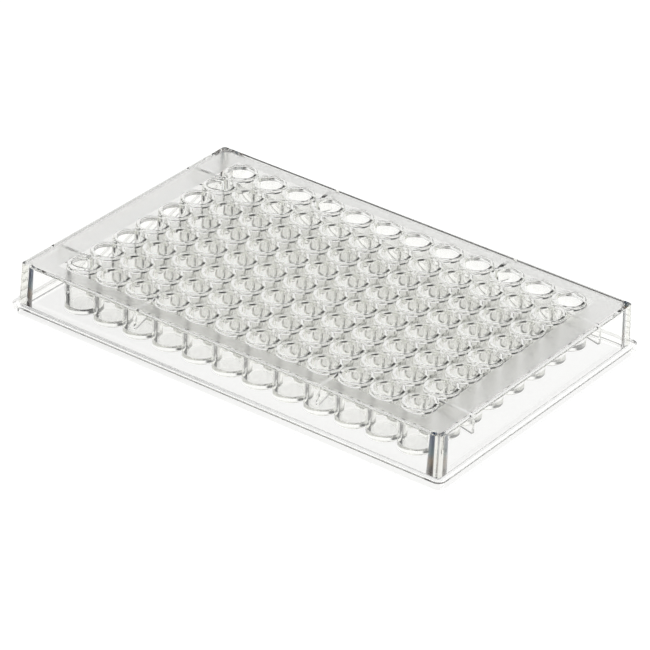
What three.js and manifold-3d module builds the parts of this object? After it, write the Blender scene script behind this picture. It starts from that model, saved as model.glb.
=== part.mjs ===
import * as THREE from "three";
import { mergeVertices } from "three/addons/utils/BufferGeometryUtils.js";
import Module from "manifold-3d";

// A clear microtitre plate, moulded as one piece: a grid of cylindrical wells hangs from a flat deck,
// a drafted skirt closes the four sides, and a flange round its foot is what robots and nests grip.
// Millimetres, +Z up. The origin is the centre of the footprint, on the surface the plate stands on.

// Well grid: columns run along X, rows along Y
const COLUMNS = 12;
const ROWS = 8;
const PITCH = 9;
const END_MARGIN = 14.38; // from the end columns' centres to the ends of the footprint
const SIDE_MARGIN = 11.24; // from the outer rows' centres to the sides of the footprint

// Heights
const HEIGHT = 14.2; // from the surface it stands on to the top of the well rims
const RIM_HEIGHT = 0.6; // the rims stand this far proud of the deck
const DECK_THICKNESS = 0.9;
const FLOOR_THICKNESS = 1.2; // of each well
const STACK_GAP = 0.1; // left under the wells when plates are stacked

// Wells
const WELL_MOUTH_RADIUS = 3.43;
const WELL_FLOOR_RADIUS = 3.18;
const RIM_WALL = 0.87;
const TUBE_RADIUS = 4.45; // outside of a well where it leaves the deck
const TUBE_FOOT_RADIUS = 4.38;
const WELL_SIDES = 10; // facets round each well

// Skirt, and the flange round its foot
const SKIRT_WALL = 1.15;
const SKIRT_DRAFT = 0.4; // the skirt leans in by this much between the flange and the deck
const SKIRT_CORNER_RADIUS = 0.8;
const INNER_CORNER_RADIUS = 2.6; // inside the skirt, so that the wall is thickest at its corners
const FLANGE_WIDTH = 1.6; // how far the flange stands out from the skirt
const FLANGE_HEIGHT = 2.75;
const FLANGE_CORNER_RADIUS = 2;
const CORNER_STEPS = 3; // half as many facets as each rounded corner has

// Recess inside the flange, which the top of the plate below nests into
const NEST_DEPTH = 1.6;
const NEST_CLEARANCE = 0.2;

// Gussets under the deck, two on each side, from the skirt to the outer wells
const GUSSET_THICKNESS = 1;
const GUSSET_HEIGHT_AT_SKIRT = 4.6;
const GUSSET_HEIGHT_AT_WELLS = 2;
const GUSSET_OFFSET = 3; // pitches from the middle of the side

const CUT = 1; // how far a cutting shape runs past the face it opens

// Sizes that follow from those above
const halfGridX = ((COLUMNS - 1) * PITCH) / 2;
const halfGridY = ((ROWS - 1) * PITCH) / 2;
const halfLength = halfGridX + END_MARGIN;
const halfWidth = halfGridY + SIDE_MARGIN;
const deckTop = HEIGHT - RIM_HEIGHT;
const deckUnderside = deckTop - DECK_THICKNESS;
const wellFoot = NEST_DEPTH + RIM_HEIGHT + STACK_GAP;
const wellFloor = wellFoot + FLOOR_THICKNESS;
const rimRadius = WELL_MOUTH_RADIUS + RIM_WALL;
const skirtInsetAtDeck = FLANGE_WIDTH + SKIRT_DRAFT;

const wasm = await Module();
wasm.setup();

/** Turns a closed three.js geometry into a solid that can be joined and cut. */
function solid(geometry) {
  geometry.deleteAttribute("normal");
  geometry.deleteAttribute("uv");
  const merged = mergeVertices(geometry);
  const corners = merged.index.array;
  const triVerts = [];
  for (let i = 0; i < corners.length; i += 3) {
    const [a, b, c] = corners.slice(i, i + 3);
    if (a !== b && b !== c && c !== a) triVerts.push(a, b, c);
  }
  const vertProperties = merged.attributes.position.array;
  return new wasm.Manifold(
    new wasm.Mesh({ numProp: 3, vertProperties, triVerts: new Uint32Array(triVerts) }),
  );
}

/** Turns a solid back into a geometry to show. */
function geometryOf(body) {
  const { vertProperties, triVerts } = body.getMesh();
  const geometry = new THREE.BufferGeometry();
  geometry.setAttribute("position", new THREE.BufferAttribute(vertProperties, 3));
  geometry.setIndex(new THREE.BufferAttribute(triVerts, 1));
  geometry.computeVertexNormals();
  return geometry;
}

/** Rounded rectangle that lies `inset` inside the footprint, as a ring of points at height z. */
function ring(inset, radius, z) {
  const x = halfLength - inset - radius;
  const y = halfWidth - inset - radius;
  const outline = new THREE.Path();
  outline.absarc(x, -y, radius, -Math.PI / 2, 0);
  outline.absarc(x, y, radius, 0, Math.PI / 2);
  outline.absarc(-x, y, radius, Math.PI / 2, Math.PI);
  outline.absarc(-x, -y, radius, Math.PI, 1.5 * Math.PI);
  return outline.getPoints(CORNER_STEPS).map((p) => new THREE.Vector3(p.x, p.y, z));
}

/** Solid skinned through rings of equal count, from the lowest to the highest. */
function loft(...rings) {
  const count = rings[0].length;
  const cap = THREE.ShapeUtils.triangulateShape(rings[0], []);
  const top = (rings.length - 1) * count;
  const index = [];
  for (const [a, b, c] of cap) index.push(c, b, a, top + a, top + b, top + c);
  for (let level = 0; level < rings.length - 1; level++) {
    for (let i = 0; i < count; i++) {
      const low = level * count + i;
      const next = level * count + ((i + 1) % count);
      index.push(low, next, next + count, low, next + count, low + count);
    }
  }
  const geometry = new THREE.BufferGeometry().setFromPoints(rings.flat());
  geometry.setIndex(index);
  return solid(geometry);
}

/** Solid of revolution about +Z, from a profile of [radius, height] pairs that starts and ends on the axis. */
function revolve(...profile) {
  const points = profile.map(([radius, height]) => new THREE.Vector2(radius, height));
  return solid(new THREE.LatheGeometry(points, WELL_SIDES).rotateX(Math.PI / 2));
}

/** Tray: skirt and deck on the flange, hollow underneath, with the nesting recess at its foot. */
function tray() {
  const flange = loft(ring(0, FLANGE_CORNER_RADIUS, 0), ring(0, FLANGE_CORNER_RADIUS, FLANGE_HEIGHT));
  const skirt = loft(
    ring(FLANGE_WIDTH, SKIRT_CORNER_RADIUS, 0),
    ring(FLANGE_WIDTH, SKIRT_CORNER_RADIUS, FLANGE_HEIGHT),
    ring(skirtInsetAtDeck, SKIRT_CORNER_RADIUS, deckTop),
  );
  const hollow = loft(
    ring(FLANGE_WIDTH + SKIRT_WALL, INNER_CORNER_RADIUS, -CUT),
    ring(FLANGE_WIDTH + SKIRT_WALL, INNER_CORNER_RADIUS, FLANGE_HEIGHT),
    ring(skirtInsetAtDeck + SKIRT_WALL, INNER_CORNER_RADIUS, deckUnderside),
  );
  const nestInset = skirtInsetAtDeck - NEST_CLEARANCE;
  const nest = loft(
    ring(nestInset, SKIRT_CORNER_RADIUS, -CUT),
    ring(nestInset, SKIRT_CORNER_RADIUS, NEST_DEPTH),
  );
  return flange.add(skirt).subtract(hollow).subtract(nest);
}

/** Gusset in the plane of X and Z, from the outer wells' centre line (x = 0) out into the skirt. */
function gusset(reach) {
  const top = deckUnderside + DECK_THICKNESS / 2;
  const profile = new THREE.Shape([
    new THREE.Vector2(0, deckUnderside - GUSSET_HEIGHT_AT_WELLS),
    new THREE.Vector2(reach, deckUnderside - GUSSET_HEIGHT_AT_SKIRT),
    new THREE.Vector2(reach, top),
    new THREE.Vector2(0, top),
  ]);
  const plate = new THREE.ExtrudeGeometry(profile, { depth: GUSSET_THICKNESS, bevelEnabled: false });
  return plate.translate(0, 0, -GUSSET_THICKNESS / 2).rotateX(Math.PI / 2);
}

/** All the gussets, mirrored about both middle planes. */
function gussets() {
  const intoSkirt = skirtInsetAtDeck + SKIRT_WALL / 2;
  const along = GUSSET_OFFSET * PITCH;
  const parts = [];
  for (const end of [0, 1]) {
    for (const side of [-1, 1]) {
      const atEnd = gusset(END_MARGIN - intoSkirt).translate(halfGridX, side * along, 0);
      const atSide = gusset(SIDE_MARGIN - intoSkirt).translate(halfGridY, side * along, 0);
      parts.push(solid(atEnd.rotateZ(end * Math.PI)));
      parts.push(solid(atSide.rotateZ((end + 0.5) * Math.PI)));
    }
  }
  return parts;
}

/** Centres of all the wells. */
function wellCentres() {
  const centres = [];
  for (let column = 0; column < COLUMNS; column++) {
    for (let row = 0; row < ROWS; row++) {
      centres.push([column * PITCH - halfGridX, row * PITCH - halfGridY, 0]);
    }
  }
  return centres;
}

/** One well's outside: a tube under the deck with a flat foot, and the rim that stands on the deck. */
function wellBody() {
  return revolve(
    [0, wellFoot],
    [TUBE_FOOT_RADIUS, wellFoot],
    [TUBE_RADIUS, deckUnderside],
    [rimRadius, deckUnderside],
    [rimRadius, HEIGHT],
    [0, HEIGHT],
  );
}

/** One well's inside, drafted and flat-floored, open at the rim. */
function wellBore() {
  return revolve(
    [0, wellFloor],
    [WELL_FLOOR_RADIUS, wellFloor],
    [WELL_MOUTH_RADIUS, HEIGHT],
    [WELL_MOUTH_RADIUS, HEIGHT + CUT],
    [0, HEIGHT + CUT],
  );
}

let plate = tray();
for (const part of gussets()) plate = plate.add(part);
const body = wellBody();
const bore = wellBore();
for (const centre of wellCentres()) plate = plate.add(body.translate(centre));
for (const centre of wellCentres()) plate = plate.subtract(bore.translate(centre));

const clearPolystyrene = new THREE.MeshStandardMaterial({
  name: "clear_polystyrene",
  color: 0xe8ecec,
  roughness: 0.06,
  metalness: 0,
  transparent: true,
  opacity: 0.35,
});

const wellPlate = new THREE.Mesh(geometryOf(plate), clearPolystyrene);
wellPlate.name = "well_plate";

const model = new THREE.Group();
model.add(wellPlate);

export default model;
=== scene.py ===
from functools import partial
import math

import bmesh
import bpy
from mathutils import Matrix, Vector


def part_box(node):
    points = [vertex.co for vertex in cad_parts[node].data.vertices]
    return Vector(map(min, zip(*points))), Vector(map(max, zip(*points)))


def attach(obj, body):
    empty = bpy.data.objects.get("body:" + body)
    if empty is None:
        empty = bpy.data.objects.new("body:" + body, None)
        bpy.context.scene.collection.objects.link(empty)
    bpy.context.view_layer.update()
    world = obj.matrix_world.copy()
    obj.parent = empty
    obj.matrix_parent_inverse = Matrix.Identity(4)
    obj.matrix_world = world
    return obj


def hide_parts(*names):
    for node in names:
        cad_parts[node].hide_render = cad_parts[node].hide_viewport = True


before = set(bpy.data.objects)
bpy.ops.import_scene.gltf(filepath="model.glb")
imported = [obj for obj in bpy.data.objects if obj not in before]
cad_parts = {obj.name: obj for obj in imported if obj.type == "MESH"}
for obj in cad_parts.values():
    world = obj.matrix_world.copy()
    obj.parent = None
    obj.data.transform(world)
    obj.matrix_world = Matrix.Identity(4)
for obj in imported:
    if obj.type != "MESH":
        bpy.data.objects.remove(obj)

bl_info = {
    "name": "Clear 96-Well Plate",
    "version": (1, 0, 0),
    "blender": (4, 5, 0),
    "location": "3D View > Sidebar > Well Plate",
    "description": "Moulds a clear polystyrene well plate and sets a pale stage round it",
    "category": "Add Mesh",
}

NODE = "well_plate"
BODY = "root"
MM = 0.001

_, cad_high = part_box(NODE)
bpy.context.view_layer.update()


# ---------------------------------------------------------------- settings

def length(name, description, default, low=0.0):
    """A length in metres that the sidebar shows in the scene's unit."""
    return bpy.props.FloatProperty(name=name, description=description, default=default, min=low,
                                   unit="LENGTH", subtype="DISTANCE", precision=5)


def angle(name, description, degrees):
    """An angle, written in degrees."""
    return bpy.props.FloatProperty(name=name, description=description, default=math.radians(degrees),
                                   subtype="ANGLE")


def amount(name, description, default, low=0.0):
    """A plain number, such as the level of a light."""
    return bpy.props.FloatProperty(name=name, description=description, default=default, min=low)


def share(name, description, default):
    """A part of a whole, from 0 to 1."""
    return bpy.props.FloatProperty(name=name, description=description, default=default, min=0, max=1,
                                   subtype="FACTOR")


def number(name, description, default, low=0):
    """A whole number of things."""
    return bpy.props.IntProperty(name=name, description=description, default=default, min=low)


def colour(name, description, default):
    """A colour that the sidebar shows as a swatch."""
    return bpy.props.FloatVectorProperty(name=name, description=description, default=default,
                                         subtype="COLOR", size=3, min=0, max=1)


class PlateSizes(bpy.types.PropertyGroup):
    """Sizes of the moulding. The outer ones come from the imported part."""

    half_length: length("Half Length", "From the middle to the flange's end", cad_high.x)
    half_width: length("Half Width", "From the middle to the flange's side", cad_high.y)
    height: length("Height", "From the surface it stands on to the top of the well rims", cad_high.z)
    columns: number("Columns", "Wells along the plate", 12, 1)
    rows: number("Rows", "Wells across the plate", 8, 1)
    pitch: length("Pitch", "Distance between neighbouring wells' centres", 9 * MM)
    rim_height: length("Rim Height", "How far the rims stand proud of the deck", 0.6 * MM)
    deck: length("Deck Thickness", "Thickness of the deck", 0.9 * MM)
    well_foot: length("Well Foot", "Height of the wells' underside", 2.3 * MM)
    well_floor: length("Well Floor", "Height of the floor inside the wells", 3.5 * MM)
    mouth_radius: length("Mouth Radius", "Inner radius of a well at its rim", 3.43 * MM)
    floor_radius: length("Floor Radius", "Inner radius of a well at its floor", 3.18 * MM)
    rim_wall: length("Rim Wall", "Thickness of a rim", 0.87 * MM)
    tube_radius: length("Tube Radius", "Outer radius of a well under the deck", 4.45 * MM)
    foot_radius: length("Foot Radius", "Outer radius of a well at its foot", 4.38 * MM)
    foot_round: length("Foot Rounding", "Rounding of the outer edge of a well's foot", 0.15 * MM)
    floor_round: length("Floor Rounding", "Rounding between a well's wall and its floor", 0.25 * MM)
    rim_base: length("Rim Base", "Rounding between the deck and a rim", 0.08 * MM)
    rim_crown: length("Rim Crown", "Rounding of a rim's outer edge", 0.2 * MM)
    rim_lip: length("Rim Lip", "Rounding of a rim's inner edge", 0.15 * MM)
    deck_edge: length("Deck Edge", "Rounding of the deck's edge", 0.05 * MM)
    flange_edge: length("Flange Edge", "Rounding of the flange's upper edge", 0.06 * MM)
    flange_foot: length("Flange Foot", "Rounding of the flange's lower edge", 0.15 * MM)
    flange_width: length("Flange Width", "How far the flange stands out from the skirt", 1.6 * MM)
    flange_height: length("Flange Height", "Height of the flange", 2.75 * MM)
    skirt_wall: length("Skirt Wall", "Thickness of the skirt", 1.15 * MM)
    skirt_draft: length("Skirt Draft", "How far the skirt leans in from flange to deck", 0.4 * MM)
    skirt_corner: length("Skirt Corner", "Outer radius of the skirt's corners", 0.8 * MM)
    inner_corner: length("Inner Corner", "Radius of the skirt's corners inside", 2.6 * MM)
    flange_corner: length("Flange Corner", "Radius of the flange's corners", 2.0 * MM)
    nest_depth: length("Nest Depth", "Depth of the recess inside the flange", 1.6 * MM)
    nest_gap: length("Nest Clearance", "Play round the plate that nests in the recess", 0.2 * MM)
    gusset: length("Gusset Thickness", "Thickness of the gussets under the deck", 1 * MM)
    gusset_outer: length("Gusset Height at Skirt", "Height of a gusset where it meets the skirt", 4.6 * MM)
    gusset_inner: length("Gusset Height at Wells", "Height of a gusset where it meets the wells", 2 * MM)
    gusset_offset: length("Gusset Offset", "From the middle of a side to its gussets", 27 * MM)


class PlateLook(bpy.types.PropertyGroup):
    """Look of the clear polystyrene."""

    tint: colour("Tint", "Tint of the plastic", (1, 1, 0.99))
    # Painted shade: a darker, warmer colour on the outside of the skirt's corners, standing in for the shade
    # that refraction shows there
    painted_corner_shade: colour("Corner Tint", "Tint of the skirt's corners outside", (0.86, 0.85, 0.78))
    depth_tint: colour("Depth Tint", "Tint that thick plastic takes on", (0.70, 0.75, 0.45))
    depth_density: amount("Depth Density", "How fast that tint builds up", 2.5)
    refraction: amount("Refraction", "Index of refraction", 1.59, 1)
    roughness: share("Roughness", "Roughness of the polished faces", 0.015)
    flow_size: length("Flow Size", "Size of the waves that the melt leaves in the faces", 12 * MM)
    flow_depth: length("Flow Depth", "Height of those waves", 0.004 * MM)
    frost: share("Frost", "Roughness of the matt faces", 0.3)
    frost_cover: share("Frost Cover", "Share of the light that the matt faces scatter back", 0.08)
    grain_size: length("Grain Size", "Size of the grain of the matt faces", 0.25 * MM)
    grain_depth: length("Grain Depth", "Height of that grain", 0.003 * MM)
    # Painted shade: dark, coloured fringes on the inner faces of the skirt's corners, where refraction would
    # show dark surroundings; the cover makes them stop the light
    painted_fringe_cover: share("Fringe Cover", "Share of the light that the corners' fringes stop", 1.0)
    painted_fringe_start: length("Fringe Start", "How far round a corner its fringe starts", 0.02 * MM)
    painted_fringe_fade: share("Fringe Fade", "How much weaker a fringe is on its ends' side", 0.3)
    painted_fringe_top: colour("Fringe Top", "Colour of the fringes near the deck", (0.03, 0.08, 0.20))
    painted_fringe_high: colour("Fringe High", "Colour of the fringes above their middle", (0.10, 0.22, 0.26))
    painted_fringe_low: colour("Fringe Low", "Colour of the fringes below their middle", (0.30, 0.19, 0.09))
    painted_fringe_foot: colour("Fringe Foot", "Colour of the fringes near the flange", (0.07, 0.042, 0.028))


class StageLook(bpy.types.PropertyGroup):
    """Floor, studio, lamp and camera."""

    floor_colour: colour("Floor Colour", "Colour of the floor", (0.85, 0.85, 0.85))
    floor_glow: amount("Floor Glow", "Glow that makes the floor white", 0.87)
    shadow_depth: share("Shadow Depth", "Share of the floor's colour that takes shadow", 0.3)
    horizon: amount("Horizon", "Light low above the floor", 0.05)
    backdrop: amount("Backdrop", "Light of the backdrop", 0.45)
    gloom: amount("Gloom", "Light above the backdrop", 0.015)
    ceiling: amount("Ceiling", "Light of the ceiling", 0.6)
    field: amount("Field", "Light below the horizon, for reflections inside the plastic", 1.0)
    bounces: number("Bounces", "Reflections after which all the studio looks as light as that", 3)
    cloth: amount("Cloth", "Light of the two dark cloths below the horizon", 0.0)
    near_side: angle("Near Cloth Side", "From the line of sight to the cloth by the camera", 85)
    near_top: angle("Near Cloth Top", "From the horizon down to that cloth's top", 34)
    near_foot: angle("Near Cloth Foot", "From the horizon down to that cloth's foot", 80)
    left_start: angle("Left Cloth Start", "From the line of sight to the cloth on the left", 20)
    left_end: angle("Left Cloth End", "From the line of sight to that cloth's far side", 110)
    left_top: angle("Left Cloth Top", "From the horizon down to that cloth's top", 15)
    left_foot: angle("Left Cloth Foot", "From the horizon down to that cloth's foot", 43)
    lamp_size: length("Lamp Size", "Side of the soft lamp", 1.0)
    lamp_height: length("Lamp Height", "Height of the soft lamp", 1.2)
    lamp_power: bpy.props.FloatProperty(name="Lamp Power", description="Power of the soft lamp",
                                        default=10.0, min=0, unit="POWER")
    azimuth: angle("Azimuth", "Direction that the camera looks from", 34.321)
    elevation: angle("Elevation", "The camera's angle above the horizon", 29.81)
    roll: angle("Roll", "The camera's tilt about its own line of sight", 3.342)
    distance: length("Camera Distance", "From the camera to the plate", 1.011176)
    shift_right: length("Camera Right", "How far the camera stands to the right", -0.000024, -1)
    shift_up: length("Camera Up", "How far the camera stands upwards", -0.00437, -1)
    lens: bpy.props.FloatProperty(name="Lens", description="Focal length", default=231.0, min=1,
                                  unit="CAMERA")


WELL_SIDES = 40  # facets round a well, a multiple of 8 so that they reach the cell's corners
CORNER_STEPS = 10  # facets round each of the plate's corners
SMOOTH_ANGLE = math.radians(35)  # edges that turn by more than this stay sharp
WELD_DISTANCE = 0.01 * MM


# ---------------------------------------------------------------- mesh helpers

def arc(centre, radius, start, end, steps):
    """Points of an arc in a profile, angles in degrees from +r towards +z, ends included."""
    angles = [math.radians(start + (end - start) * i / steps) for i in range(steps + 1)]
    return [(centre[0] + radius * math.cos(a), centre[1] + radius * math.sin(a)) for a in angles]


def new_object(name, data):
    made = bpy.data.objects.new(name, data)
    bpy.context.scene.collection.objects.link(made)
    return made


def mesh_from(bm, name):
    mesh = bpy.data.meshes.new(name)
    bm.to_mesh(mesh)
    bm.free()
    return mesh


def is_closed(mesh):
    """Whether the mesh has faces and no open edge."""
    bm = bmesh.new()
    bm.from_mesh(mesh)
    closed = len(bm.faces) > 0 and all(edge.is_manifold for edge in bm.edges)
    bm.free()
    return closed


def rounded_ring(bm, half_x, half_y, radius, z):
    """Vertices of a rounded rectangle at height z, counter-clockwise from above."""
    made = []
    for quarter, (sx, sy) in enumerate(((1, -1), (1, 1), (-1, 1), (-1, -1))):
        centre = Vector((sx * (half_x - radius), sy * (half_y - radius), z))
        for step in range(CORNER_STEPS + 1):
            turn = math.radians(90 * (quarter - 1 + step / CORNER_STEPS))
            made.append(bm.verts.new(centre + Vector((math.cos(turn), math.sin(turn), 0)) * radius))
    return made


def bridge(bm, low, high):
    """Quads between two rings of equal count."""
    count = len(low)
    for i in range(count):
        j = (i + 1) % count
        bm.faces.new((low[i], low[j], high[j], high[i]))


def cell_ring(bm, half_x, half_y, columns, rows, pitch, z):
    """Vertices round the field of wells, spaced as the cells' own edges are."""
    side = WELL_SIDES // 8
    offsets = [math.tan(math.radians(45 * i / side)) / 2 for i in range(-side, side)]

    def line(count, half):
        return [-half + pitch * (k + 0.5 + s) for k in range(count) for s in offsets]

    xs, ys = line(columns, half_x), line(rows, half_y)
    places = [(x, -half_y) for x in xs] + [(half_x, y) for y in ys]
    places += [(-x, half_y) for x in xs] + [(-half_x, -y) for y in ys]
    return [bm.verts.new((x, y, z)) for x, y in places]


def fill_between(bm, outer, inner):
    """Flat fill between two closed loops in one plane."""
    edges = []
    for loop in (outer, inner):
        for a, b in zip(loop, loop[1:] + loop[:1]):
            edges.append(bm.edges.get((a, b)) or bm.edges.new((a, b)))
    bmesh.ops.triangle_fill(bm, use_beauty=True, edges=edges)


def tray_mesh(s):
    """Skirt, flange and the deck's margin, open where the field of wells goes."""
    bm = bmesh.new()
    deck_top = s.height - s.rim_height
    deck_under = deck_top - s.deck
    inset_top = s.flange_width + s.skirt_draft
    edge, foot, deck_edge = s.flange_edge, s.flange_foot, s.deck_edge
    flange_r, inner_r = s.flange_corner, s.inner_corner
    nest_inset = inset_top - s.nest_gap

    # (inset, height, corner radius) from the deck's top down the outside and up the inside
    rings = []
    for r, z in arc((-deck_edge, -deck_edge), deck_edge, 90, 0, 4):
        rings.append((inset_top - r, deck_top + z, s.skirt_corner + r))
    for r, z in arc((edge, edge), edge, 180, 270, 3):
        rings.append((s.flange_width - r, s.flange_height + z, s.skirt_corner + r))
    for r, z in arc((-edge, -edge), edge, 90, 0, 3):
        rings.append((-r, s.flange_height + z, flange_r + r))
    for r, z in arc((-foot, foot), foot, 0, -90, 2):
        rings.append((-r, z, flange_r + r))
    rings.append((nest_inset, 0, s.skirt_corner))
    rings.append((nest_inset, s.nest_depth, s.skirt_corner))
    rings.append((s.flange_width + s.skirt_wall, s.nest_depth, inner_r))
    rings.append((s.flange_width + s.skirt_wall, s.flange_height, inner_r))
    for r, z in arc((-deck_edge, -deck_edge), deck_edge, 0, 90, 3):
        rings.append((inset_top + s.skirt_wall - r, deck_under + z, inner_r + r))

    loops = [rounded_ring(bm, s.half_length - i, s.half_width - i, r, z) for i, z, r in rings]
    for upper, lower in zip(loops, loops[1:]):
        bridge(bm, lower, upper)
    field_x, field_y = s.columns * s.pitch / 2, s.rows * s.pitch / 2
    for loop, z in ((loops[0], deck_top), (loops[-1], deck_under)):
        fill_between(bm, loop, cell_ring(bm, field_x, field_y, s.columns, s.rows, s.pitch, z))
    # The sheet is still open, so its lowest face, the flange's foot, tells which way is out
    bmesh.ops.recalc_face_normals(bm, faces=bm.faces)
    lowest = min(bm.faces, key=lambda f: f.calc_center_median().z)
    if lowest.normal.z > 0:
        bmesh.ops.reverse_faces(bm, faces=bm.faces)
    return mesh_from(bm, "tray")


def well_profile(s):
    """The wall of one well as (radius, height) rows: from the deck over the rim to the floor,
    then from the middle of the foot up the outside to the deck's underside."""
    deck_top = s.height - s.rim_height
    deck_under = deck_top - s.deck
    rim_r = s.mouth_radius + s.rim_wall
    base, crown, lip, root = s.rim_base, s.rim_crown, s.rim_lip, s.floor_round
    inside = arc((rim_r + base, deck_top + base), base, 270, 180, 2)
    inside += arc((rim_r - crown, s.height - crown), crown, 0, 90, 3)
    inside += arc((s.mouth_radius + lip, s.height - lip), lip, 90, 180, 2)
    inside += arc((s.floor_radius - root, s.well_floor + root), root, 0, -90, 3)
    outside = arc((s.foot_radius - s.foot_round, s.well_foot + s.foot_round), s.foot_round, 270, 360, 4)
    outside += [(s.tube_radius, deck_under)]
    return inside, outside


def cell_mesh(s):
    """One square cell of the deck with its well, whose edges meet those of the next cell."""
    bm = bmesh.new()
    deck_top = s.height - s.rim_height
    deck_under = deck_top - s.deck
    inside, outside = well_profile(s)

    def circle(r, z):
        angles = [2 * math.pi * i / WELL_SIDES for i in range(WELL_SIDES)]
        return [bm.verts.new((r * math.cos(a), r * math.sin(a), z)) for a in angles]

    def square(z):
        made, half = [], s.pitch / 2
        for i in range(WELL_SIDES):
            x, y = math.cos(2 * math.pi * i / WELL_SIDES), math.sin(2 * math.pi * i / WELL_SIDES)
            reach = half / max(abs(x), abs(y))
            made.append(bm.verts.new((x * reach, y * reach, z)))
        return made

    def close(loop, z):
        centre = bm.verts.new((0, 0, z))
        for a, b in zip(loop, loop[1:] + loop[:1]):
            bm.faces.new((a, b, centre))

    upper = [square(deck_top)] + [circle(r, z) for r, z in inside]
    for a, b in zip(upper, upper[1:]):
        bridge(bm, a, b)
    close(upper[-1], s.well_floor)
    lower = [circle(r, z) for r, z in outside] + [square(deck_under)]
    for a, b in zip(lower, lower[1:]):
        bridge(bm, a, b)
    foot = lower[0][::-1]
    close(foot, s.well_foot)
    return mesh_from(bm, "cell")


def gusset_mesh(s, reach, name):
    """A gusset in the plane of X and Z, from x = 0 at the outer wells to x = reach in the skirt."""
    bm = bmesh.new()
    deck_under = s.height - s.rim_height - s.deck
    top = deck_under + s.deck / 2
    outline = ((0, deck_under - s.gusset_inner), (reach, deck_under - s.gusset_outer),
               (reach, top), (0, top))
    front, back = ([bm.verts.new((x, side * s.gusset / 2, z)) for x, z in outline] for side in (-1, 1))
    bm.faces.new(front)
    bm.faces.new(back[::-1])
    bridge(bm, back, front)
    bmesh.ops.recalc_face_normals(bm, faces=bm.faces)
    return mesh_from(bm, name)


# ---------------------------------------------------------------- node helpers

def feed(tree, slots, values):
    """Gives each socket its value, or links it to the output that it follows."""
    for slot, value in zip(slots, values):
        if isinstance(value, bpy.types.NodeSocket):
            tree.links.new(value, slot)
        else:
            slot.default_value = value


def maths(tree, operation, *values):
    """Result of a maths node."""
    node = tree.nodes.new("ShaderNodeMath")
    node.operation = operation
    feed(tree, node.inputs, values)
    return node.outputs[0]


def product(tree, first, *others):
    """Product of several numbers."""
    for other in others:
        first = maths(tree, "MULTIPLY", first, other)
    return first


def blend(tree, part, low, high):
    """Number between two others."""
    node = tree.nodes.new("ShaderNodeMapRange")
    feed(tree, node.inputs, (part, 0.0, 1.0, low, high))
    return node.outputs[0]


def noise(tree, coordinates, size, detail):
    """Cloudy noise with features of the given size."""
    node = tree.nodes.new("ShaderNodeTexNoise")
    tree.links.new(coordinates, node.inputs["Vector"])
    node.inputs["Scale"].default_value = 1 / size
    node.inputs["Detail"].default_value = detail
    return node.outputs["Fac"]


def axes_of(tree, vector):
    """X, Y and Z of a vector."""
    node = tree.nodes.new("ShaderNodeSeparateXYZ")
    tree.links.new(vector, node.inputs[0])
    return node.outputs


def ramp(tree, value, stops):
    """Colour ramp on a value, from (position, colour) pairs that rise."""
    node = tree.nodes.new("ShaderNodeValToRGB")
    tree.links.new(value, node.inputs[0])
    elements = node.color_ramp.elements
    (elements[0].position, first), (elements[1].position, last) = stops[0], stops[-1]
    elements[0].color, elements[1].color = (*first, 1), (*last, 1)
    for at, colour_there in stops[1:-1]:
        elements.new(at).color = (*colour_there, 1)
    return node.outputs[0]


def greys(pairs):
    """The same pairs, with each level made a grey."""
    return [(at, (level, level, level)) for at, level in pairs]


def mix_colours(tree, part, low, high):
    """Colour between two others."""
    node = tree.nodes.new("ShaderNodeMix")
    node.data_type = "RGBA"
    tree.links.new(part, node.inputs["Factor"])
    feed(tree, [slot for slot in node.inputs if slot.type == "RGBA"], (low, high))
    return next(slot for slot in node.outputs if slot.type == "RGBA")


# ---------------------------------------------------------------- well grid

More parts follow.
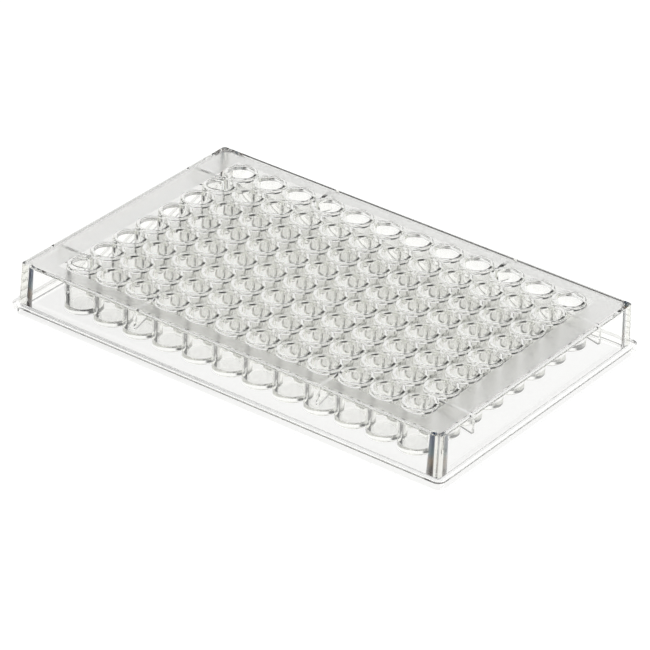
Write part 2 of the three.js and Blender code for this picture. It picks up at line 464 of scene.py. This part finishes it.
def well_grid_tree():
    """Joins the tray with a grid of wells and with the gussets, as one closed moulding."""
    tree = bpy.data.node_groups.new("Well Grid", "GeometryNodeTree")
    tree.interface.new_socket(name="Moulding", in_out="OUTPUT", socket_type="NodeSocketGeometry")
    for name, kind in (("Tray", "Geometry"), ("Well", "Object"), ("End Gusset", "Object"),
                       ("Side Gusset", "Object"), ("Columns", "Int"), ("Rows", "Int"), ("Pitch", "Float"),
                       ("Gusset Offset", "Float"), ("Weld Distance", "Float"), ("Material", "Material")):
        tree.interface.new_socket(name=name, in_out="INPUT", socket_type="NodeSocket" + kind)
    nodes, links = tree.nodes, tree.links
    asked = nodes.new("NodeGroupInput").outputs
    calc = partial(maths, tree)

    def grid(size_x, size_y, count_x, count_y):
        node = nodes.new("GeometryNodeMeshGrid")
        feed(tree, node.inputs, (size_x, size_y, count_x, count_y))
        return node.outputs["Mesh"]

    def copies(points, piece, turn=None):
        """Copies of an object on each point, turned about Z."""
        info = nodes.new("GeometryNodeObjectInfo")
        links.new(piece, info.inputs["Object"])
        put = nodes.new("GeometryNodeInstanceOnPoints")
        links.new(points, put.inputs["Points"])
        links.new(info.outputs["Geometry"], put.inputs["Instance"])
        if turn is not None:
            around = nodes.new("ShaderNodeCombineXYZ")
            links.new(turn, around.inputs["Z"])
            links.new(around.outputs[0], put.inputs["Rotation"])
        real = nodes.new("GeometryNodeRealizeInstances")
        links.new(put.outputs["Instances"], real.inputs[0])
        return real.outputs[0]

    span_x = calc("MULTIPLY", asked["Pitch"], calc("SUBTRACT", asked["Columns"], 1))
    span_y = calc("MULTIPLY", asked["Pitch"], calc("SUBTRACT", asked["Rows"], 1))
    apart = calc("MULTIPLY", asked["Gusset Offset"], 2)
    x, y, _ = axes_of(tree, nodes.new("GeometryNodeInputPosition").outputs[0])
    turned_x = calc("MULTIPLY", calc("LESS_THAN", x, 0), math.pi)
    turned_y = calc("ADD", calc("MULTIPLY", calc("LESS_THAN", y, 0), math.pi), math.pi / 2)

    wells = copies(grid(span_x, span_y, asked["Columns"], asked["Rows"]), asked["Well"])
    end_gussets = copies(grid(span_x, apart, 2, 2), asked["End Gusset"], turned_x)
    side_gussets = copies(grid(apart, span_y, 2, 2), asked["Side Gusset"], turned_y)

    join = nodes.new("GeometryNodeJoinGeometry")
    links.new(asked["Tray"], join.inputs[0])
    links.new(wells, join.inputs[0])
    weld = nodes.new("GeometryNodeMergeByDistance")
    links.new(join.outputs[0], weld.inputs["Geometry"])
    links.new(asked["Weld Distance"], weld.inputs["Distance"])
    union = nodes.new("GeometryNodeMeshBoolean")
    union.operation, union.solver = "UNION", "MANIFOLD"
    for part in (weld.outputs[0], end_gussets, side_gussets):
        links.new(part, union.inputs["Mesh 2"])
    real = nodes.new("GeometryNodeRealizeInstances")
    links.new(union.outputs["Mesh"], real.inputs[0])
    finish = nodes.new("GeometryNodeSetMaterial")
    links.new(real.outputs[0], finish.inputs["Geometry"])
    links.new(asked["Material"], finish.inputs["Material"])
    links.new(finish.outputs[0], nodes.new("NodeGroupOutput").inputs[0])
    return tree


def run_tree(base, tree, values):
    """Adds the tree to an object as a modifier, and returns the mesh that it makes."""
    modifier = base.modifiers.new(tree.name, "NODES")
    modifier.node_group = tree
    for item in tree.interface.items_tree:
        if item.in_out == "INPUT" and item.name in values:
            modifier[item.identifier] = values[item.name]
    graph = bpy.context.evaluated_depsgraph_get()
    mesh = bpy.data.meshes.new_from_object(base.evaluated_get(graph))
    base.modifiers.remove(modifier)
    return mesh


# ---------------------------------------------------------------- plastic

FACE_TOLERANCE = 0.02 * MM  # how near to a face's height a place counts as on it
UPRIGHT_LIMIT = 0.5  # the upward part of a face's normal, under which it counts as upright
FLOW_SPREAD, GRAIN_SPREAD = 0.5, 0.15  # how much the roughness varies, polished and matt
# How far from a corner's middle, as a share of its inner radius, and the strength of the painted shade
# fringes there
PAINTED_FRINGE_ACROSS = ((0.18, 0.0), (0.24, 0.8), (0.5, 1.0), (0.8, 0.85), (1.0, 0.6))
PAINTED_FRINGE_UP = (0.3, 0.48, 0.63, 0.85)  # the heights of its four colours, as shares of the deck's


def matt_faces(tree, across, along, height, level, sizes):
    """1 on the deck's margin, between the wells and the skirt, and on the ledge that plates nest under."""
    calc, multiply = partial(maths, tree), partial(product, tree)
    wall = sizes.flange_width + sizes.skirt_draft + sizes.skirt_wall
    beyond_wells = calc("MAXIMUM", calc("GREATER_THAN", across, sizes.columns * sizes.pitch / 2),
                        calc("GREATER_THAN", along, sizes.rows * sizes.pitch / 2))
    margin = multiply(calc("COMPARE", height, sizes.height - sizes.rim_height, FACE_TOLERANCE), beyond_wells,
                      calc("LESS_THAN", across, sizes.half_length - wall),
                      calc("LESS_THAN", along, sizes.half_width - wall))
    ledge = calc("COMPARE", height, sizes.nest_depth, FACE_TOLERANCE)
    return multiply(level, calc("MAXIMUM", margin, ledge))


def painted_shade_masks(tree, across, along, height, upright, look, sizes):
    """Strength of the painted shade: dark coloured fringes painted where light leaves a corner of the skirt
    inwards, and 1 on the corner's outer side, which gets a darker painted colour."""
    calc, multiply = partial(maths, tree), partial(product, tree)
    inset = sizes.flange_width + sizes.skirt_draft / 2 + sizes.skirt_wall + sizes.inner_corner
    out_x = calc("MAXIMUM", calc("SUBTRACT", across, sizes.half_length - inset), 0)
    out_y = calc("MAXIMUM", calc("SUBTRACT", along, sizes.half_width - inset), 0)
    nearer = calc("MINIMUM", out_x, out_y)
    out = calc("POWER", calc("ADD", multiply(out_x, out_x), multiply(out_y, out_y)), 0.5)
    inside = multiply(calc("LESS_THAN", out, sizes.inner_corner + sizes.skirt_wall / 3), upright)

    leaving = tree.nodes.new("ShaderNodeNewGeometry").outputs["Backfacing"]
    bent = calc("GREATER_THAN", nearer, look.painted_fringe_start)
    slant = calc("DIVIDE", calc("ABSOLUTE", calc("SUBTRACT", out_x, out_y)), sizes.inner_corner)
    weaker = calc("SUBTRACT", 1, calc("MULTIPLY", calc("GREATER_THAN", out_x, out_y), look.painted_fringe_fade))
    # Painted shade: a dark strip on each corner's inner face where it is seen from inside the plastic
    fringe = multiply(inside, leaving, bent, ramp(tree, slant, greys(PAINTED_FRINGE_ACROSS)), weaker)

    # Painted shade: the corners' outer faces above the flange, which get the darker painted colour
    outside = multiply(calc("GREATER_THAN", nearer, sizes.inner_corner / 2),
                       calc("GREATER_THAN", height, sizes.flange_height), calc("SUBTRACT", upright, inside))
    return fringe, outside


def polystyrene(look, sizes):
    """Clear moulded polystyrene: polished faces with the faint waves of its flow, a matt deck margin and
    nesting ledge, and painted shade at the skirt's corners: dark coloured fringes and a darker tint."""
    material = bpy.data.materials.new("clear_polystyrene")
    material.use_nodes = True
    tree = material.node_tree
    calc = partial(maths, tree)
    shader = tree.nodes["Principled BSDF"]
    shader.inputs["IOR"].default_value = look.refraction

    place = tree.nodes.new("ShaderNodeTexCoord")
    x, y, height = axes_of(tree, place.outputs["Object"])
    across, along = calc("ABSOLUTE", x), calc("ABSOLUTE", y)
    upward = axes_of(tree, place.outputs["Normal"])["Z"]
    upright = calc("LESS_THAN", calc("ABSOLUTE", upward), UPRIGHT_LIMIT)
    matt = matt_faces(tree, across, along, height, calc("SUBTRACT", 1, upright), sizes)
    fringe, outside = painted_shade_masks(tree, across, along, height, upright, look, sizes)

    # The painted shade fringes stop the light; the matt faces scatter a little of it back
    stopped = calc("ADD", calc("MULTIPLY", fringe, look.painted_fringe_cover),
                   calc("MULTIPLY", matt, look.frost_cover))
    tree.links.new(calc("SUBTRACT", 1, stopped), shader.inputs["Transmission Weight"])
    deck_under = sizes.height - sizes.rim_height - sizes.deck
    # Painted shade: the fringes' colours, dark brown near the flange, then brown, teal, and dark blue near
    # the deck
    colours = (look.painted_fringe_foot, look.painted_fringe_low, look.painted_fringe_high, look.painted_fringe_top)
    painted_fringe_colours = ramp(tree, calc("DIVIDE", height, deck_under), list(zip(PAINTED_FRINGE_UP, colours)))
    # Painted shade: the outside of the skirt's corners takes the darker painted corner colour
    clear = mix_colours(tree, outside, (*look.tint, 1), (*look.painted_corner_shade, 1))
    tree.links.new(mix_colours(tree, fringe, clear, painted_fringe_colours), shader.inputs["Base Color"])

    flow = noise(tree, place.outputs["Object"], look.flow_size, 2)
    grain = noise(tree, place.outputs["Object"], look.grain_size, 3)
    polish = blend(tree, flow, look.roughness * (1 - FLOW_SPREAD), look.roughness * (1 + FLOW_SPREAD))
    frost = blend(tree, grain, look.frost * (1 - GRAIN_SPREAD), look.frost * (1 + GRAIN_SPREAD))
    tree.links.new(blend(tree, matt, polish, frost), shader.inputs["Roughness"])

    bump = tree.nodes.new("ShaderNodeBump")
    bump.inputs["Strength"].default_value = 1
    bump.inputs["Distance"].default_value = 1
    relief = calc("ADD", calc("MULTIPLY", flow, look.flow_depth),
                  product(tree, grain, matt, look.grain_depth))
    tree.links.new(relief, bump.inputs["Height"])
    tree.links.new(bump.outputs[0], shader.inputs["Normal"])

    depth = tree.nodes.new("ShaderNodeVolumeAbsorption")
    depth.inputs["Color"].default_value = (*look.depth_tint, 1)
    depth.inputs["Density"].default_value = look.depth_density
    tree.links.new(depth.outputs[0], tree.nodes["Material Output"].inputs["Volume"])
    return material


# ---------------------------------------------------------------- stage

FLOOR_REACH = 3  # half of the floor's side, in metres
AIM_HEIGHT = 7 * MM  # of the point that the camera looks at
SOFT_STEP = 0.03  # half the width of the dark cloths' soft edges
LIGHT_BOUNCES = 64  # light goes through many faces inside the plate


def floor_material(look):
    """Pale floor that looks white, also through the plastic, with the plate's shadow kept."""
    material = bpy.data.materials.new("floor")
    material.use_nodes = True
    tree = material.node_tree
    calc = partial(maths, tree)
    shader = tree.nodes["Principled BSDF"]
    shader.inputs["Roughness"].default_value = 1
    shader.inputs["Specular IOR Level"].default_value = 0
    path = tree.nodes.new("ShaderNodeLightPath").outputs
    seen = calc("MAXIMUM", path["Is Camera Ray"],
                calc("MAXIMUM", path["Is Glossy Ray"], path["Is Transmission Ray"]))
    seen_colour = [look.shadow_depth * part for part in look.floor_colour]
    paint = mix_colours(tree, seen, (*look.floor_colour, 1), (*seen_colour, 1))
    tree.links.new(paint, shader.inputs["Base Color"])
    shader.inputs["Emission Color"].default_value = (1, 1, 1, 1)
    tree.links.new(calc("MULTIPLY", seen, look.floor_glow), shader.inputs["Emission Strength"])
    material.cycles.emission_sampling = "NONE"

    # What was reflected inside the plastic goes on through the floor, to the studio below the horizon
    reflected = calc("GREATER_THAN", path["Glossy Depth"], 0.5)
    through = tree.nodes.new("ShaderNodeMixShader")
    clear = tree.nodes.new("ShaderNodeBsdfTransparent")
    feed(tree, through.inputs, (calc("MULTIPLY", path["Is Transmission Ray"], reflected),
                                shader.outputs[0], clear.outputs[0]))
    tree.links.new(through.outputs[0], tree.nodes["Material Output"].inputs["Surface"])
    return material


def make_world(look):
    """Studio round the plate: dim low down, then a pale band of backdrop, dark over it, and a light
    ceiling. Below the horizon, which only reflections inside the plastic show, it is light, with one
    dark cloth by the camera and one on its left."""
    world = bpy.data.worlds.new("studio")
    bpy.context.scene.world = world
    world.use_nodes = True
    tree = world.node_tree
    calc = partial(maths, tree)
    x, y, up = axes_of(tree, tree.nodes.new("ShaderNodeTexCoord").outputs["Generated"])

    levels = ((0, look.horizon), (12, look.horizon), (15, look.backdrop), (27, look.backdrop),
              (28.5, look.gloom), (48, look.gloom), (56, look.ceiling), (90, look.ceiling))
    sky = ramp(tree, up, greys((math.sin(math.radians(degrees)), level) for degrees, level in levels))

    def below(value, edge):
        """1 where the value is under the edge, 0 over it, with a soft step."""
        node = tree.nodes.new("ShaderNodeMapRange")
        node.interpolation_type = "SMOOTHSTEP"
        feed(tree, node.inputs, (value, edge + SOFT_STEP, edge - SOFT_STEP))
        return node.outputs[0]

    def between(value, start, end):
        """1 from the start down to the end, with soft steps."""
        return calc("SUBTRACT", below(value, start), below(value, end))

    # The cosine of the angle from the line of sight, and the side of it
    level_part = calc("POWER", calc("SUBTRACT", 1, calc("POWER", up, 2)), 0.5)
    ahead = calc("DIVIDE", calc("ADD", calc("MULTIPLY", x, -math.sin(look.azimuth)),
                                calc("MULTIPLY", y, math.cos(look.azimuth))), level_part)
    rightwards = calc("ADD", calc("MULTIPLY", x, math.cos(look.azimuth)),
                      calc("MULTIPLY", y, math.sin(look.azimuth)))

    near = product(tree, between(up, -math.sin(look.near_top), -math.sin(look.near_foot)),
                   below(ahead, math.cos(look.near_side)))
    left = product(tree, calc("LESS_THAN", rightwards, 0),
                   between(up, -math.sin(look.left_top), -math.sin(look.left_foot)),
                   between(ahead, math.cos(look.left_start), math.cos(look.left_end)))
    field = blend(tree, calc("MAXIMUM", near, left), look.field, look.cloth)
    reflections = tree.nodes.new("ShaderNodeLightPath").outputs["Glossy Depth"]
    worn_out = calc("GREATER_THAN", reflections, look.bounces + 0.5)
    shows_field = calc("MAXIMUM", calc("LESS_THAN", up, 0), worn_out)
    tree.links.new(mix_colours(tree, shows_field, sky, field), tree.nodes["Background"].inputs["Color"])
    world.cycles.sampling_method = "NONE"


def make_lamp(look):
    """A wide soft lamp overhead, which the plastic doesn't reflect."""
    data = bpy.data.lights.new("ceiling_lamp", "AREA")
    data.shape, data.size = "SQUARE", look.lamp_size
    data.energy = look.lamp_power
    lamp = new_object("ceiling_lamp", data)
    lamp.location = (0, 0, look.lamp_height)
    lamp.visible_glossy = lamp.visible_transmission = False


def make_camera(look):
    """Camera at its azimuth and elevation about the plate, rolled about its line of sight."""
    back = Vector((math.sin(look.azimuth) * math.cos(look.elevation),
                   -math.cos(look.azimuth) * math.cos(look.elevation), math.sin(look.elevation)))
    right = Vector((math.cos(look.azimuth), math.sin(look.azimuth), 0))
    up = back.cross(right)
    turned_right = right * math.cos(look.roll) + up * math.sin(look.roll)
    turned_up = up * math.cos(look.roll) - right * math.sin(look.roll)
    data = bpy.data.cameras.new("camera")
    data.lens, data.sensor_width = look.lens, 36
    data.clip_start, data.clip_end = 0.01, 50
    camera = new_object("camera", data)
    place = Vector((0, 0, AIM_HEIGHT)) + back * look.distance
    place += turned_right * look.shift_right + turned_up * look.shift_up
    rotation = Matrix((turned_right, turned_up, back)).transposed().to_4x4()
    camera.matrix_world = Matrix.Translation(place) @ rotation
    bpy.context.scene.camera = camera


# ---------------------------------------------------------------- operators

class WELLPLATE_OT_mould(bpy.types.Operator):
    """Mould the plate: tray, wells and gussets in one piece of clear plastic"""

    bl_idname = "wellplate.mould"
    bl_label = "Mould Plate"
    bl_options = {"REGISTER", "UNDO"}

    def execute(self, context):
        sizes, look = context.scene.plate_sizes, context.scene.plate_look
        into_skirt = sizes.flange_width + sizes.skirt_draft + sizes.skirt_wall / 2
        end_reach = sizes.half_length - (sizes.columns - 1) * sizes.pitch / 2 - into_skirt
        side_reach = sizes.half_width - (sizes.rows - 1) * sizes.pitch / 2 - into_skirt
        tray = new_object("tray", tray_mesh(sizes))
        well = new_object("well", cell_mesh(sizes))
        end_gusset = new_object("end_gusset", gusset_mesh(sizes, end_reach, "end_gusset"))
        side_gusset = new_object("side_gusset", gusset_mesh(sizes, side_reach, "side_gusset"))
        mesh = run_tree(tray, well_grid_tree(), {
            "Well": well, "End Gusset": end_gusset, "Side Gusset": side_gusset,
            "Columns": sizes.columns, "Rows": sizes.rows, "Pitch": sizes.pitch,
            "Gusset Offset": sizes.gusset_offset, "Weld Distance": WELD_DISTANCE,
            "Material": polystyrene(look, sizes),
        })
        for part in (tray, well, end_gusset, side_gusset):
            bpy.data.objects.remove(part)
        if not is_closed(mesh):
            raise RuntimeError("The moulding isn't closed: a size leaves no room for its neighbour")
        mesh.name = "clear_plate"
        mesh.polygons.foreach_set("use_smooth", [True] * len(mesh.polygons))
        mesh.set_sharp_from_angle(angle=SMOOTH_ANGLE)
        plate = new_object("clear_plate", mesh)
        weigh = plate.modifiers.new("Flat faces first", "WEIGHTED_NORMAL")
        weigh.weight, weigh.keep_sharp = 100, True
        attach(plate, BODY)
        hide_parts(NODE)
        return {"FINISHED"}


class WELLPLATE_OT_stage(bpy.types.Operator):
    """Set the stage: pale floor, soft light and camera"""

    bl_idname = "wellplate.stage"
    bl_label = "Set Stage"
    bl_options = {"REGISTER", "UNDO"}

    def execute(self, context):
        look = context.scene.stage_look
        bm = bmesh.new()
        bmesh.ops.create_grid(bm, x_segments=1, y_segments=1, size=FLOOR_REACH)
        floor = new_object("floor", mesh_from(bm, "floor"))
        floor.data.materials.append(floor_material(look))
        make_world(look)
        make_lamp(look)
        make_camera(look)
        context.scene.view_settings.view_transform = "Standard"
        cycles = context.scene.cycles
        cycles.max_bounces = cycles.glossy_bounces = cycles.transmission_bounces = LIGHT_BOUNCES
        return {"FINISHED"}


class WELLPLATE_PT_sidebar(bpy.types.Panel):
    """Well Plate tab of the sidebar"""

    bl_idname = "WELLPLATE_PT_sidebar"
    bl_label = "Well Plate"
    bl_space_type = "VIEW_3D"
    bl_region_type = "UI"
    bl_category = "Well Plate"

    def draw(self, context):
        for operator, groups in ((WELLPLATE_OT_mould, ("plate_sizes", "plate_look")),
                                 (WELLPLATE_OT_stage, ("stage_look",))):
            box = self.layout.box()
            box.operator(operator.bl_idname)
            for group in groups:
                settings = getattr(context.scene, group)
                for name in GROUPS[group].__annotations__:
                    box.prop(settings, name)


GROUPS = {"plate_sizes": PlateSizes, "plate_look": PlateLook, "stage_look": StageLook}
CLASSES = (*GROUPS.values(), WELLPLATE_OT_mould, WELLPLATE_OT_stage, WELLPLATE_PT_sidebar)


def register():
    for cls in CLASSES:
        bpy.utils.register_class(cls)
    for name, group in GROUPS.items():
        setattr(bpy.types.Scene, name, bpy.props.PointerProperty(type=group))


def unregister():
    for name in GROUPS:
        delattr(bpy.types.Scene, name)
    for cls in reversed(CLASSES):
        bpy.utils.unregister_class(cls)


def main():
    register()
    bpy.ops.wellplate.mould()
    bpy.ops.wellplate.stage()


if __name__ == "__main__":
    main()
